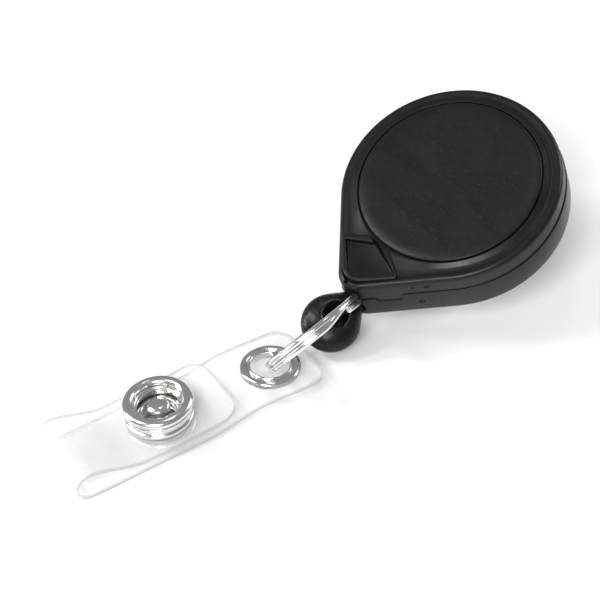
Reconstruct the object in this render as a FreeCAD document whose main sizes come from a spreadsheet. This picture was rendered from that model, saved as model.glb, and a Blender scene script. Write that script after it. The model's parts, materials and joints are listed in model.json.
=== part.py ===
"""Retractable badge reel: case, spring spool, cord, end fitting, ring, snap strap and swivel clip.

Everything is in millimetres, with +Z up.  The reel leans on the tail of its clip, and the
ring and the strap lie in front of it along -Y.
"""
import FreeCAD, Part
import math
import os
import Sketcher
from FreeCAD import Matrix, Placement, Rotation, Vector

DIMENSIONS = {
    # case, in the reel's own frame: back face at z 0, axis on z, mouth towards -y
    "case_radius": 16.75,
    "case_wall": 1.1,
    "tip_round": 3.4,
    "case_split": 4.7,
    "case_top": 8.4,
    "cover_inset": 0.15,
    "floor_thick": 1.1,
    "cover_inner": 7.0,
    "top_round": 1.0,
    "back_round": 0.7,
    "cavity_end": 18.6,
    # label disc and corner pocket in the cover
    "label_radius": 13.6,
    "label_gap": 0.25,
    "label_floor": 7.8,
    "label_top": 8.65,
    "label_round": 0.3,
    "pocket_half": 4.4,
    "pocket_mid": 16.3,
    "pocket_near": 14.4,
    "pocket_floor": 7.5,
    # mouth and its guide
    "mouth_height": 2.3,
    "mouth_radius": 2.05,
    "mouth_start": 20.0,
    "guide_radius": 1.7,
    "guide_bore": 0.8,
    # axle, spool and spring
    "rivet_radius": 1.3,
    "rivet_head": 2.7,
    "spindle_radius": 1.6,
    "spindle_foot": 2.6,
    "spindle_top": 6.9,
    "spool_low": 1.45,
    "spool_sheet": 0.35,
    "spool_radius": 13.6,
    "spool_bore": 1.65,
    "drum_radius": 8.0,
    "drum_wall": 0.7,
    "bay_top": 4.2,
    "drum_top": 6.0,
    "lid_thick": 0.4,
    "winding_radius": 12.2,
    "strip_thick": 0.2,
    "strip_pitch": 0.52,
    "strip_low": 2.2,
    "strip_top": 5.6,
    # cord and its end fitting
    "cord_radius": 0.4,
    "fitting_round": 4.5,
    "fitting_mid": 26.75,
    "fitting_thick": 4.4,
    "neck_radius": 1.75,
    "neck_start": 20.2,
    "neck_end": 22.2,
    "eye_mid": 26.2,
    "eye_side": -0.5,
    "eye_front": 25.5,
    "eye_radius": 1.75,
    "ring_channel": 1.25,
    "fitting_roll": 20.0,
    "stop_radius": 1.0,
    "stop_start": 21.9,
    "stop_end": 23.0,
    # split ring
    "ring_radius": 7.9,
    "ring_wire": 0.45,
    # strap
    "strap_width": 13.0,
    "strap_thick": 0.45,
    "strap_end": 6.0,
    "strap_round": 3.0,
    "strap_high": 3.25,
    "strap_bend_one": 5.0,
    "strap_bend_two": 12.3,
    "strap_bend_three": 23.3,
    "strap_mid_high": 1.55,
    "strap_mid_low": 0.6,
    "fold_centre": 32.3,
    "fold_radius": 2.15,
    "fold_low": 0.0,
    "flap_start": 31.95,
    "flap_bend": 23.8,
    "flap_knee": 12.0,
    "flap_end": 8.2,
    "flap_lift": 1.6,
    # grommet
    "grommet_radius": 4.4,
    "grommet_bore": 2.8,
    "grommet_tube": 3.0,
    "grommet_sheet": 0.3,
    # snap
    "snap_along": 17.8,
    "snap_radius": 5.15,
    "snap_open": 3.5,
    "snap_top": 5.4,
    "socket_radius": 4.9,
    "socket_top": 3.9,
    "socket_bore": 2.45,
    "stud_plate": 4.95,
    "stud_neck": 1.6,
    "stud_head": 1.75,
    "stud_top": 4.6,
    "post_radius": 1.15,
    "eyelet_tube": 2.85,
    "grip_wire": 0.3,
    # clip, in its own frame: nose towards +y, below the case
    "clip_half": 5.4,
    "clip_sheet": 0.8,
    "clip_plate": 0.9,
    "clip_tail": 9.5,
    "clip_nose": 10.5,
    "axle_along": 1.0,
    "axle_depth": 6.4,
    "axle_radius": 1.0,
    "jaw_half": 4.4,
    "jaw_tail": 17.28,
    "jaw_nose": 4.2,
    "clip_lip": 3.35,
    "coil_radius": 1.75,
    "coil_wire": 0.28,
    # where the groups stand
    "reel_height": 12.2,
    "reel_tilt": 23.0,
    "low_side": 16.0,
    "grommet_x": 1.33,
    "grommet_y": 37.53,
    "strap_yaw": 8.0,
    "base_x": -0.39,
    "base_y": 28.03,
}


class Size:
    """A number together with the spreadsheet expression that gives it."""

    def __init__(self, value, text):
        self.value = float(value)
        self.text = text

    @staticmethod
    def of(item):
        return item if isinstance(item, Size) else Size(item, "(%.9f)" % item)

    def _join(self, other, sign, value):
        return Size(value, "(%s %s %s)" % (self.text, sign, other.text))

    def __add__(self, other):
        other = Size.of(other)
        return self._join(other, "+", self.value + other.value)

    def __radd__(self, other):
        return Size.of(other) + self

    def __sub__(self, other):
        other = Size.of(other)
        return self._join(other, "-", self.value - other.value)

    def __rsub__(self, other):
        return Size.of(other) - self

    def __mul__(self, other):
        other = Size.of(other)
        return self._join(other, "*", self.value * other.value)

    def __rmul__(self, other):
        return Size.of(other) * self

    def __truediv__(self, other):
        other = Size.of(other)
        return self._join(other, "/", self.value / other.value)

    def __neg__(self):
        return Size(-self.value, "(-%s)" % self.text)


doc = FreeCAD.newDocument("badge_reel")
sheet = doc.addObject("Spreadsheet::Sheet", "sizes")
for row, (alias, number) in enumerate(DIMENSIONS.items(), start=1):
    sheet.set("A%d" % row, alias)
    sheet.set("B%d" % row, str(number))
    sheet.setAlias("B%d" % row, alias)
doc.recompute()

parts = []


def size(alias):
    return Size(sheet.get(alias), "sizes.%s" % alias)


def num(alias):
    return float(sheet.get(alias))


# ---------------------------------------------------------------- drawing helpers

def new_body(name, pose):
    body = doc.addObject("PartDesign::Body", name)
    body.Label = name
    body.Placement = pose
    parts.append(body)
    return body


def new_sketch(body, role, lift=0.0, up=0.0):
    """A sketch on one of the body's origin planes, moved along its normal and up its own y."""
    plane = next(item for item in body.Origin.OriginFeatures if item.Role == role)
    sketch = body.newObject("Sketcher::SketchObject", body.Name + "_sketch")
    sketch.AttachmentSupport = (plane, "")
    sketch.MapMode = "FlatFace"
    lift = Size.of(lift)
    up = Size.of(up)
    sketch.AttachmentOffset = Placement(Vector(0, up.value, lift.value), Rotation())
    sketch.setExpression(".AttachmentOffset.Base.y", up.text)
    sketch.setExpression(".AttachmentOffset.Base.z", lift.text)
    return sketch


def pin(sketch, kind, item, end, distance):
    """Hold one end of a line or arc at a distance from the sketch's origin."""
    distance = Size.of(distance)
    index = sketch.addConstraint(Sketcher.Constraint(kind, -1, 1, item, end, distance.value))
    sketch.setExpression("Constraints[%d]" % index, distance.text)


def point_of(pair):
    return Vector(Size.of(pair[0]).value, Size.of(pair[1]).value, 0)


def draw_polygon(sketch, corners):
    """A closed outline of straight lines through corners given as pairs of sizes."""
    first = sketch.GeometryCount
    count = len(corners)
    for index, corner in enumerate(corners):
        after = corners[(index + 1) % count]
        sketch.addGeometry(Part.LineSegment(point_of(corner), point_of(after)), False)
    for index, corner in enumerate(corners):
        here = first + index
        before = first + (index - 1) % count
        sketch.addConstraint(Sketcher.Constraint("Coincident", before, 2, here, 1))
        pin(sketch, "DistanceX", here, 1, corner[0])
        pin(sketch, "DistanceY", here, 1, corner[1])


def draw_circle(sketch, along, up, radius):
    radius = Size.of(radius)
    centre = point_of((along, up))
    item = sketch.addGeometry(Part.Circle(centre, Vector(0, 0, 1), radius.value), False)
    pin(sketch, "DistanceX", item, 3, along)
    pin(sketch, "DistanceY", item, 3, up)
    index = sketch.addConstraint(Sketcher.Constraint("Radius", item, radius.value))
    sketch.setExpression("Constraints[%d]" % index, radius.text)


def draw_drop(sketch, radius, cut=None):
    """A circle with two tangents that meet at a square corner towards -y, or are cut straight."""
    radius = Size.of(radius)
    touch = radius * math.sqrt(0.5)
    tip = radius * math.sqrt(2.0)
    left, right = math.radians(225.0), math.radians(-45.0)
    arc = sketch.addGeometry(
        Part.ArcOfCircle(Part.Circle(Vector(), Vector(0, 0, 1), radius.value), right, left), False)
    sketch.addConstraint(Sketcher.Constraint("Coincident", arc, 3, -1, 1))
    pin(sketch, "DistanceX", arc, 1, touch)
    pin(sketch, "DistanceY", arc, 1, -touch)
    pin(sketch, "DistanceX", arc, 2, -touch)
    if cut is None:
        corners = [(-touch, -touch), (0.0, -tip), (touch, -touch)]
    else:
        half = tip - cut
        corners = [(-touch, -touch), (-half, -cut), (half, -cut), (touch, -touch)]
    lines = []
    for start, stop in zip(corners, corners[1:]):
        lines.append(sketch.addGeometry(Part.LineSegment(point_of(start), point_of(stop)), False))
    sketch.addConstraint(Sketcher.Constraint("Coincident", arc, 2, lines[0], 1))
    for line, after in zip(lines, lines[1:]):
        sketch.addConstraint(Sketcher.Constraint("Coincident", line, 2, after, 1))
    sketch.addConstraint(Sketcher.Constraint("Coincident", lines[-1], 2, arc, 1))
    for line, corner in zip(lines[1:], corners[1:-1]):
        pin(sketch, "DistanceX", line, 1, corner[0])
        pin(sketch, "DistanceY", line, 1, corner[1])


def volume(body):
    doc.recompute()
    return body.Shape.Volume


def pad(body, sketch, length, midplane=False):
    feature = body.newObject("PartDesign::Pad", body.Name + "_pad")
    feature.Profile = sketch
    length = Size.of(length)
    feature.Length = length.value
    feature.setExpression("Length", length.text)
    feature.Midplane = midplane
    doc.recompute()
    return feature


def pocket(body, sketch, depth, midplane=False, upward=False):
    """Cut the sketch down by depth, or up, or both ways; it must take something away."""
    before = volume(body)
    feature = body.newObject("PartDesign::Pocket", body.Name + "_pocket")
    feature.Profile = sketch
    depth = Size.of(depth)
    feature.Length = depth.value
    feature.setExpression("Length", depth.text)
    feature.Midplane = midplane
    feature.Reversed = upward
    if volume(body) >= before - 1e-6:
        raise RuntimeError("a pocket in %s cut nothing" % body.Label)
    return feature


def turn(body, sketch, axis="V_Axis", angle=360.0):
    feature = body.newObject("PartDesign::Revolution", body.Name + "_revolution")
    feature.Profile = sketch
    feature.ReferenceAxis = (sketch, [axis])
    feature.Angle = angle
    doc.recompute()
    return feature


def groove(body, sketch, axis="V_Axis"):
    before = volume(body)
    feature = body.newObject("PartDesign::Groove", body.Name + "_groove")
    feature.Profile = sketch
    feature.ReferenceAxis = (sketch, [axis])
    feature.Angle = 360.0
    if volume(body) >= before - 1e-6:
        raise RuntimeError("a groove in %s cut nothing" % body.Label)
    return feature


def edges_where(body, test):
    """Names of the body's edges whose middle point passes the test, in the body's own frame."""
    doc.recompute()
    shape = body.Tip.Shape
    names = []
    for index, edge in enumerate(shape.Edges, start=1):
        middle = edge.valueAt((edge.FirstParameter + edge.LastParameter) / 2.0)
        if test(middle, edge):
            names.append("Edge%d" % index)
    if not names:
        raise RuntimeError("no edge to round on %s" % body.Label)
    return names


def round_edges(body, test, radius, kind="Fillet"):
    names = edges_where(body, test)
    base = body.Tip
    feature = body.newObject("PartDesign::" + kind, body.Name + "_" + kind.lower())
    feature.Base = (base, names)
    radius = Size.of(radius)
    slot = "Radius" if kind == "Fillet" else "Size"
    setattr(feature, slot, radius.value)
    feature.setExpression(slot, radius.text)
    doc.recompute()
    return feature


def turned_piece(name, pose, corners):
    """A body made by turning a closed outline of (radius, height) corners about its z axis."""
    body = new_body(name, pose)
    sketch = new_sketch(body, "XZ_Plane")
    draw_polygon(sketch, corners)
    turn(body, sketch)
    return body


# ---------------------------------------------------------------- where the groups stand

def reel_pose():
    """The reel leans towards its low side, which lies a little to +x of the mouth."""
    side = math.radians(num("low_side"))
    lean = Rotation(Vector(math.cos(side), math.sin(side), 0), num("reel_tilt"))
    mouth = lean.multVec(Vector(0, -1, 0))
    yaw = math.degrees(math.atan2(mouth.x, -mouth.y))
    place = Vector(num("base_x"), num("base_y"), num("reel_height"))
    return Placement(place, Rotation(Vector(0, 0, 1), -yaw).multiply(lean))


REEL = reel_pose()
CLIP = REEL.multiply(Placement(Vector(), Rotation(Vector(0, 0, 1), 180.0 + num("low_side"))))
FITTING = REEL.multiply(
    Placement(Vector(0, -num("eye_mid"), num("mouth_height")),
              Rotation(Vector(0, 1, 0), num("fitting_roll"))))
STRAP = Placement(Vector(num("grommet_x") + num("base_x"), -num("grommet_y") + num("base_y"), 0),
                  Rotation(Vector(0, 0, 1), -num("strap_yaw")))
SNAP_SLOPE = math.degrees(math.atan2(num("strap_mid_high") - num("strap_mid_low"),
                                     num("strap_bend_three") - num("strap_bend_two")))
SNAP_SHARE = (num("snap_along") - num("strap_bend_two")) / (num("strap_bend_three") - num("strap_bend_two"))
SNAP_HIGH = num("strap_mid_high") + SNAP_SHARE * (num("strap_mid_low") - num("strap_mid_high"))
SNAP = STRAP.multiply(Placement(Vector(0, -num("snap_along"), SNAP_HIGH),
                                Rotation(Vector(1, 0, 0), SNAP_SLOPE)))
GROMMET = STRAP.multiply(Placement(Vector(0, 0, num("strap_high")), Rotation()))
VIEW_SIDE = Vector(0.6065, -0.464, 0.6457)


def ring_pose():
    """The ring passes through the eye and the grommet and leans to the +x side."""
    eye = FITTING.multVec(Vector(num("eye_side"), 0, 0))
    hole = GROMMET.multVec(Vector(0, 0, num("strap_thick") / 2.0 + 0.1))
    chord = hole.sub(eye)
    half = chord.Length / 2.0
    along = Vector(chord).normalize()
    up = VIEW_SIDE - along * VIEW_SIDE.dot(along)
    up.normalize()
    rise = math.sqrt(num("ring_radius") ** 2 - half ** 2)
    centre = (eye + hole) * 0.5 + up * rise
    axis = along.cross(up)
    matrix = Matrix(along.x, up.x, axis.x, centre.x,
                    along.y, up.y, axis.y, centre.y,
                    along.z, up.z, axis.z, centre.z,
                    0, 0, 0, 1)
    return Placement(matrix)


RING = ring_pose()


# ---------------------------------------------------------------- case

def rear_case():
    body = new_body("rear_case", REEL)
    outer = new_sketch(body, "XY_Plane")
    draw_drop(outer, size("case_radius"))
    pad(body, outer, size("case_split"))
    tip = -num("case_radius") * math.sqrt(2.0)
    round_edges(body, lambda p, e: abs(p.x) < 0.01 and p.y < tip + 0.1, size("tip_round"))
    round_edges(body, lambda p, e: abs(p.z) < 0.01, size("back_round"))
    inner = new_sketch(body, "XY_Plane", size("case_split"))
    draw_drop(inner, size("case_radius") - size("case_wall"), size("cavity_end"))
    pocket(body, inner, size("case_split") - size("floor_thick"))
    bore = new_sketch(body, "XY_Plane", size("floor_thick"))
    draw_circle(bore, 0.0, 0.0, size("rivet_radius"))
    pocket(body, bore, size("floor_thick"))
    mouth = new_sketch(body, "YZ_Plane", up=size("mouth_height"))
    inside = -(size("cavity_end") - 0.5)
    step = -size("mouth_start")
    outside = -(size("case_radius") * math.sqrt(2.0) + 1.0)
    draw_polygon(mouth, [
        (inside, 0.0),
        (inside, size("guide_radius")),
        (step, size("guide_radius")),
        (step, size("mouth_radius")),
        (outside, size("mouth_radius")),
        (outside, 0.0),
    ])
    groove(body, mouth, "H_Axis")
    return body


def front_cover():
    body = new_body("front_cover", REEL)
    outer = new_sketch(body, "XY_Plane", size("case_split"))
    draw_drop(outer, size("case_radius") - size("cover_inset"))
    pad(body, outer, size("case_top") - size("case_split"))
    tip = -(num("case_radius") - num("cover_inset")) * math.sqrt(2.0)
    top = num("case_top")
    round_edges(body, lambda p, e: abs(p.x) < 0.01 and p.y < tip + 0.1, size("tip_round"))
    round_edges(body, lambda p, e: abs(p.z - top) < 0.01, size("top_round"))
    inner = new_sketch(body, "XY_Plane", size("case_split"))
    draw_drop(inner, size("case_radius") - size("case_wall"), size("cavity_end"))
    pocket(body, inner, size("cover_inner") - size("case_split"), upward=True)
    recess = new_sketch(body, "XY_Plane", size("case_top"))
    draw_circle(recess, 0.0, 0.0, size("label_radius") + size("label_gap"))
    pocket(body, recess, size("case_top") - size("label_floor"))
    corner = new_sketch(body, "XY_Plane", size("case_top"))
    half = size("pocket_half")
    middle = size("pocket_mid")
    near = size("pocket_near")
    flat = half - (middle - near)
    draw_polygon(corner, [
        (-half, -middle),
        (-1.2, -(middle + half - 1.2)),
        (1.2, -(middle + half - 1.2)),
        (half, -middle),
        (flat, -near),
        (-flat, -near),
    ])
    pocket(body, corner, size("case_top") - size("pocket_floor"))
    return body


def label_disc():
    radius = size("label_radius")
    top = size("label_top")
    rim = size("label_round")
    return turned_piece("label_disc", REEL, [
        (0.0, size("label_floor")),
        (radius, size("label_floor")),
        (radius, top - rim),
        (radius - rim, top),
        (0.0, top),
    ])


def exit_guide():
    """Bush in the mouth that the cord runs through, flared on the inside."""
    body = new_body("exit_guide", REEL)
    sketch = new_sketch(body, "YZ_Plane", up=size("mouth_height"))
    tail = -size("cavity_end")
    front = -(size("mouth_start") - 0.05)
    outer = size("guide_radius") - 0.02
    draw_polygon(sketch, [
        (tail, size("guide_bore") + 0.4),
        (tail - 0.5, size("guide_bore")),
        (front, size("guide_bore")),
        (front, outer),
        (tail, outer),
    ])
    turn(body, sketch, "H_Axis")
    return body


def spindle():
    """Fixed axle of the spool, pressed on the rivet."""
    bore = size("rivet_radius")
    foot = size("spindle_foot")
    post = size("spindle_radius")
    low = size("floor_thick")
    return turned_piece("spindle", REEL, [
        (bore, low),
        (foot, low),
        (foot, low + 0.2),
        (post, low + 0.2),
        (post, size("spindle_top")),
        (0.0, size("spindle_top")),
        (0.0, low + 3.0),
        (bore, low + 3.0),
    ])


def clip_rivet():
    """Headed pin that the clip swivels on."""
    shank = size("rivet_radius")
    head = size("rivet_head")
    under = -(size("clip_plate") + size("clip_sheet") + 0.1)
    return turned_piece("clip_rivet", REEL, [
        (0.0, under - 0.75),
        (head - 0.4, under - 0.75),
        (head, under - 0.45),
        (head, under),
        (shank, under),
        (shank, size("floor_thick") + 2.9),
        (0.0, size("floor_thick") + 2.9),
    ])


# ---------------------------------------------------------------- spool

def spool():
    """Drum with two flanges: the cord winds outside it and the spring sits inside."""
    low = size("spool_low")
    thin = size("spool_sheet")
    outer = size("spool_radius")
    drum = size("drum_radius")
    inner = drum - size("drum_wall")
    bay = size("bay_top")
    return turned_piece("spool", REEL, [
        (size("spool_bore"), low),
        (outer, low),
        (outer, low + thin),
        (drum, low + thin),
        (drum, bay),
        (outer, bay),
        (outer, bay + thin),
        (drum, bay + thin),
        (drum, size("drum_top")),
        (inner, size("drum_top")),
        (inner, low + thin),
        (size("spool_bore"), low + thin),
    ])


def spring_cover():
    low = size("drum_top")
    high = low + size("lid_thick")
    outer = size("drum_radius")
    bore = size("spool_bore")
    return turned_piece("spring_cover", REEL, [(bore, low), (outer, low), (outer, high), (bore, high)])


def cord_winding():
    """The stored turns of cord, as one ring with softened edges."""
    low = size("spool_low") + size("spool_sheet") + 0.1
    high = size("bay_top") - 0.1
    inner = size("drum_radius")
    outer = size("winding_radius")
    return turned_piece("cord_winding", REEL, [
        (inner, low),
        (outer - 0.4, low),
        (outer, low + 0.5),
        (outer, high - 0.5),
        (outer - 0.4, high),
        (inner, high),
    ])


def new_feature(name, shape, pose):
    feature = doc.addObject("Part::Feature", name)
    feature.Label = name
    feature.Shape = shape
    feature.Placement = pose
    parts.append(feature)
    return feature


def half_circles(first, last, pitch, offset):
    """Edges of a flat spiral: half circles whose centres change sides, offset across the strip."""
    edges = []
    radius = first
    centre = 0.0
    side = 1.0
    while radius < last:
        grown = radius + offset
        start = Vector(centre + side * grown, 0, 0)
        middle = Vector(centre, side * grown, 0)
        stop = Vector(centre - side * grown, 0, 0)
        edges.append(Part.Arc(start, middle, stop).toShape())
        centre += side * pitch / 2.0
        radius += pitch / 2.0
        side = -side
    return edges


def power_spring():
    """Flat coil spring between the spindle and the drum."""
    thick = num("strip_thick")
    pitch = num("strip_pitch")
    first = num("spindle_radius") + pitch / 2.0 + thick
    last = num("drum_radius") - num("drum_wall") - pitch / 2.0 - thick
    outer = half_circles(first, last, pitch, thick / 2.0)
    inner = half_circles(first, last, pitch, -thick / 2.0)
    caps = [
        Part.makeLine(inner[0].Vertexes[0].Point, outer[0].Vertexes[0].Point),
        Part.makeLine(inner[-1].Vertexes[-1].Point, outer[-1].Vertexes[-1].Point),
    ]
    wire = Part.Wire(Part.__sortEdges__(outer + inner + caps))
    strip = Part.Face(wire).extrude(Vector(0, 0, num("strip_top") - num("strip_low")))
    lifted = REEL.multiply(Placement(Vector(0, 0, num("strip_low")), Rotation()))
    return new_feature("power_spring", strip, lifted)


# ---------------------------------------------------------------- cord and its end fitting

def cord_lead():
    """The cord from the side of the winding through the guide to the stop in the fitting."""
    height = num("mouth_height")
    radius = num("cord_radius")
    around = num("winding_radius") + radius + 0.1
    turn_y = num("cavity_end") - 1.0
    angle = math.acos(around / turn_y)
    touch = Vector(around * math.sin(angle), -around * math.cos(angle), height)
    corner = Vector(0, -turn_y, height)
    end = Vector(0, -num("stop_start"), height)
    inward = touch.sub(corner).normalize()
    onward = Vector(0, -1, 0)
    bend = 2.0
    half_angle = inward.getAngle(onward) / 2.0
    reach = bend / math.tan(half_angle)
    first = corner + inward * reach
    last = corner + onward * reach
    bisector = (inward + onward).normalize()
    middle = corner + bisector * (bend / math.sin(half_angle) - bend)
    path = Part.Wire([
        Part.LineSegment(touch, first).toShape(),
        Part.Arc(first, middle, last).toShape(),
        Part.LineSegment(last, end).toShape(),
    ])
    section = Part.Wire([Part.Circle(touch, first.sub(touch), radius).toShape()])
    return new_feature("cord_lead", path.makePipeShell([section], True, False), REEL)


def egg_outline():
    """Half outline of the end fitting: neck, shoulder and round nose, from neck to nose."""
    ball = num("fitting_round")
    middle = num("eye_mid")
    nose = middle - num("fitting_mid")
    neck = num("neck_radius")
    top = middle - num("neck_start")
    knee = middle - num("neck_end")
    tilt = math.atan2(neck, knee - nose)
    lean = tilt + math.acos(ball / math.hypot(knee - nose, neck))
    steps = 10
    outline = [(top, 0.0), (top, size("neck_radius")), (knee, size("neck_radius"))]
    for step in range(steps + 1):
        angle = lean + (math.pi - lean) * step / steps
        along = size("eye_mid") - size("fitting_mid") + size("fitting_round") * math.cos(angle)
        outline.append((along, size("fitting_round") * math.sin(angle) if step < steps else 0.0))
    return outline


def new_torus(name, mid_radius, wire_radius, pose):
    torus = doc.addObject("Part::Torus", name)
    torus.setExpression("Radius1", mid_radius.text)
    torus.setExpression("Radius2", wire_radius.text)
    torus.Placement = pose
    return torus


def cord_end():
    """Flattened egg with a neck towards the case and an eye that the ring runs through."""
    body = new_body("cord_end_blank", FITTING)
    parts.remove(body)
    sketch = new_sketch(body, "YZ_Plane")
    draw_polygon(sketch, egg_outline())
    turn(body, sketch, "H_Axis")
    half = size("fitting_thick") / 2.0
    far_out = size("fitting_round") + 1.0
    sides = new_sketch(body, "YZ_Plane")
    draw_polygon(sides, [(-8.0, half), (7.0, half), (7.0, far_out), (-8.0, far_out)])
    draw_polygon(sides, [(-8.0, -far_out), (7.0, -far_out), (7.0, -half), (-8.0, -half)])
    pocket(body, sides, far_out * 2.0, midplane=True)
    eye = new_sketch(body, "XY_Plane", half + 0.5)
    draw_circle(eye, -0.1, size("eye_mid") - size("eye_front"), size("eye_radius"))
    pocket(body, eye, half + 0.5)
    bore = new_sketch(body, "YZ_Plane")
    seat = size("eye_mid") - size("stop_start")
    mouth = size("eye_mid") - size("eye_front")
    wide = size("stop_radius") + 0.02
    narrow = size("cord_radius") + 0.05
    tip = size("eye_mid") - size("neck_start") + 0.5
    draw_polygon(bore, [(mouth, 0.0), (mouth, wide), (seat, wide), (seat, narrow), (tip, narrow), (tip, 0.0)])
    groove(body, bore, "H_Axis")
    channel = new_torus("ring_channel", size("ring_radius"), size("ring_channel"), RING)
    cut = doc.addObject("Part::Cut", "cord_end")
    cut.Label = "cord_end"
    cut.Base = body
    cut.Tool = channel
    doc.recompute()
    if cut.Shape.Volume >= body.Shape.Volume - 1e-6:
        raise RuntimeError("the ring's channel cut nothing")
    parts.append(cut)
    return cut


def cord_stop():
    """Brass ferrule crimped on the cord's end, held by the step in the fitting's bore."""
    body = new_body("cord_stop", REEL)
    sketch = new_sketch(body, "YZ_Plane", up=size("mouth_height"))
    start = -size("stop_start")
    stop = -size("stop_end")
    radius = size("stop_radius")
    draw_polygon(sketch, [(start, 0.0), (start, radius), (stop, radius), (stop, 0.0)])
    turn(body, sketch, "H_Axis")
    return body


def split_ring():
    """Two close turns of wire, touching side by side."""
    turns = []
    for side in (1.0, -1.0):
        shift = Placement(Vector(0, 0, side * num("ring_wire") * 0.94), Rotation())
        turns.append(new_torus("ring_turn", size("ring_radius"), size("ring_wire"), RING.multiply(shift)))
    ring = doc.addObject("Part::Fuse", "split_ring")
    ring.Label = "split_ring"
    ring.Base = turns[0]
    ring.Tool = turns[1]
    parts.append(ring)
    return ring


# ---------------------------------------------------------------- strap

def strap_line():
    """Lower face of the strap from its free end to the bottom of the fold."""
    return [
        (size("strap_end"), size("strap_high")),
        (-size("strap_bend_one"), size("strap_high")),
        (-size("strap_bend_two"), size("strap_mid_high")),
        (-size("strap_bend_three"), size("strap_mid_low")),
        (-size("fold_centre"), size("fold_low")),
    ]


def round_strap_end(body, end):
    """Cut the two corners of the end that faces +y to quarter circles."""
    half = size("strap_width") / 2.0
    radius = size("strap_round")
    corners = new_sketch(body, "XY_Plane", 8.0)
    steps = 6
    for side in (1.0, -1.0):
        outline = []
        for step in range(steps + 1):
            angle = math.pi / 2.0 * step / steps
            across = (half - radius + radius * math.cos(angle)) * side
            outline.append((across, end - radius + radius * math.sin(angle)))
        outline.append(((half - radius) * side, end + 0.5))
        outline.append(((half + 0.5) * side, end + 0.5))
        outline.append(((half + 0.5) * side, end - radius))
        draw_polygon(corners, outline)
    pocket(body, corners, 8.0)


def strap():
    """Lower layer of the vinyl strap and the round fold at its far end."""
    body = new_body("strap", STRAP)
    sketch = new_sketch(body, "YZ_Plane")
    thick = size("strap_thick")
    low = strap_line()
    high = [(along, up + thick) for along, up in reversed(low)]
    along = -size("fold_centre")
    up = size("fold_low") + size("fold_radius")
    outer = size("fold_radius")
    steps = 10
    outside = []
    inside = []
    for step in range(1, steps + 1):
        angle = math.pi * step / steps
        reach, drop = math.sin(angle), math.cos(angle)
        outside.append((along - outer * reach, up - outer * drop))
        inside.insert(0, (along - (outer - thick) * reach, up - (outer - thick) * drop))
    draw_polygon(sketch, low + outside + inside + high)
    pad(body, sketch, size("strap_width"), midplane=True)
    hole = new_sketch(body, "XY_Plane", 6.0)
    draw_circle(hole, 0.0, 0.0, size("grommet_tube") + 0.02)
    pocket(body, hole, 4.0)
    snap_hole = new_sketch(body, "XY_Plane", 3.0)
    draw_circle(snap_hole, 0.0, -size("snap_along"), size("post_radius") + 0.05)
    pocket(body, snap_hole, 4.0)
    round_strap_end(body, size("strap_end"))
    return body


def strap_flap():
    """Upper layer of the strap, from the fold down to the snap and on to its rounded end."""
    body = new_body("strap_flap", STRAP)
    sketch = new_sketch(body, "YZ_Plane")
    thick = size("strap_thick")
    fold_top = size("fold_low") + size("fold_radius") * 2.0 - thick
    slope = math.tan(math.radians(SNAP_SLOPE))
    base = SNAP_HIGH + num("flap_lift") / math.cos(math.radians(SNAP_SLOPE))
    behind = num("flap_bend") - num("snap_along")
    ahead = num("snap_along") - num("flap_knee")
    low = [
        (-size("flap_start"), fold_top),
        (-(size("flap_start") - 1.6), fold_top),
        (-size("flap_bend"), base - behind * slope),
        (-size("flap_knee"), base + ahead * slope),
        (-size("flap_end"), base + 1.6),
    ]
    high = [(first, up + thick) for first, up in reversed(low)]
    draw_polygon(sketch, low + high)
    pad(body, sketch, size("strap_width"), midplane=True)
    hole = new_sketch(body, "XY_Plane", 6.5)
    draw_circle(hole, 0.0, -(size("snap_along") + num("flap_lift") * slope), size("eyelet_tube") + 0.15)
    pocket(body, hole, 6.0)
    round_strap_end(body, -size("flap_end"))
    return body


def grommet_eyelet():
    """Flanged tube through the strap's hole, with its rolled rim on top."""
    thick = size("strap_thick")
    tube = size("grommet_tube")
    bore = size("grommet_bore")
    rim = size("grommet_radius")
    metal = size("grommet_sheet")
    return turned_piece("grommet_eyelet", GROMMET, [
        (bore, -metal - 0.1),
        (tube, -metal - 0.1),
        (tube, thick),
        (rim, thick),
        (rim, thick + 0.15),
        (rim - 0.9, thick + metal + 0.3),
        (bore + 0.3, thick + metal + 0.1),
        (bore, thick - 0.1),
    ])


def grommet_washer():
    low = -size("grommet_sheet")
    inner = size("grommet_tube")
    rim = size("grommet_radius")
    return turned_piece("grommet_washer", GROMMET, [(inner, low), (rim, low), (rim, 0.0), (inner, 0.0)])


# ---------------------------------------------------------------- snap

def snap_base():
    """Headed post under the strap that the stud is riveted to."""
    post = size("post_radius")
    high = size("strap_thick") + 0.4
    return turned_piece("snap_base", SNAP, [
        (0.0, -0.5),
        (3.8, -0.5),
        (4.2, -0.3),
        (4.2, 0.0),
        (post, 0.0),
        (post, high),
        (0.0, high),
    ])


def snap_stud():
    """Round plate on the strap with the domed stud that the socket grips."""
    thick = size("strap_thick")
    plate = size("stud_plate")
    neck = size("stud_neck")
    head = size("stud_head")
    top = size("stud_top")
    post = size("post_radius")
    return turned_piece("snap_stud", SNAP, [
        (post, thick),
        (plate, thick),
        (plate, thick + 0.3),
        (plate - 0.4, thick + 0.45),
        (neck + 0.3, thick + 0.45),
        (neck, thick + 0.8),
        (neck, top - 1.5),
        (head, top - 1.1),
        (head, top - 0.6),
        (head - 0.6, top - 0.1),
        (0.0, top),
        (0.0, thick + 0.4),
        (post, thick + 0.4),
    ])


def snap_eyelet():
    """Flanged tube through the flap that holds the socket from below."""
    low = size("flap_lift")
    bore = size("socket_bore")
    tube = size("eyelet_tube")
    return turned_piece("snap_eyelet", SNAP, [
        (bore, low - 0.3),
        (3.7, low - 0.3),
        (3.7, low),
        (tube, low),
        (tube, low + size("strap_thick")),
        (bore, low + size("strap_thick")),
    ])


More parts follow.
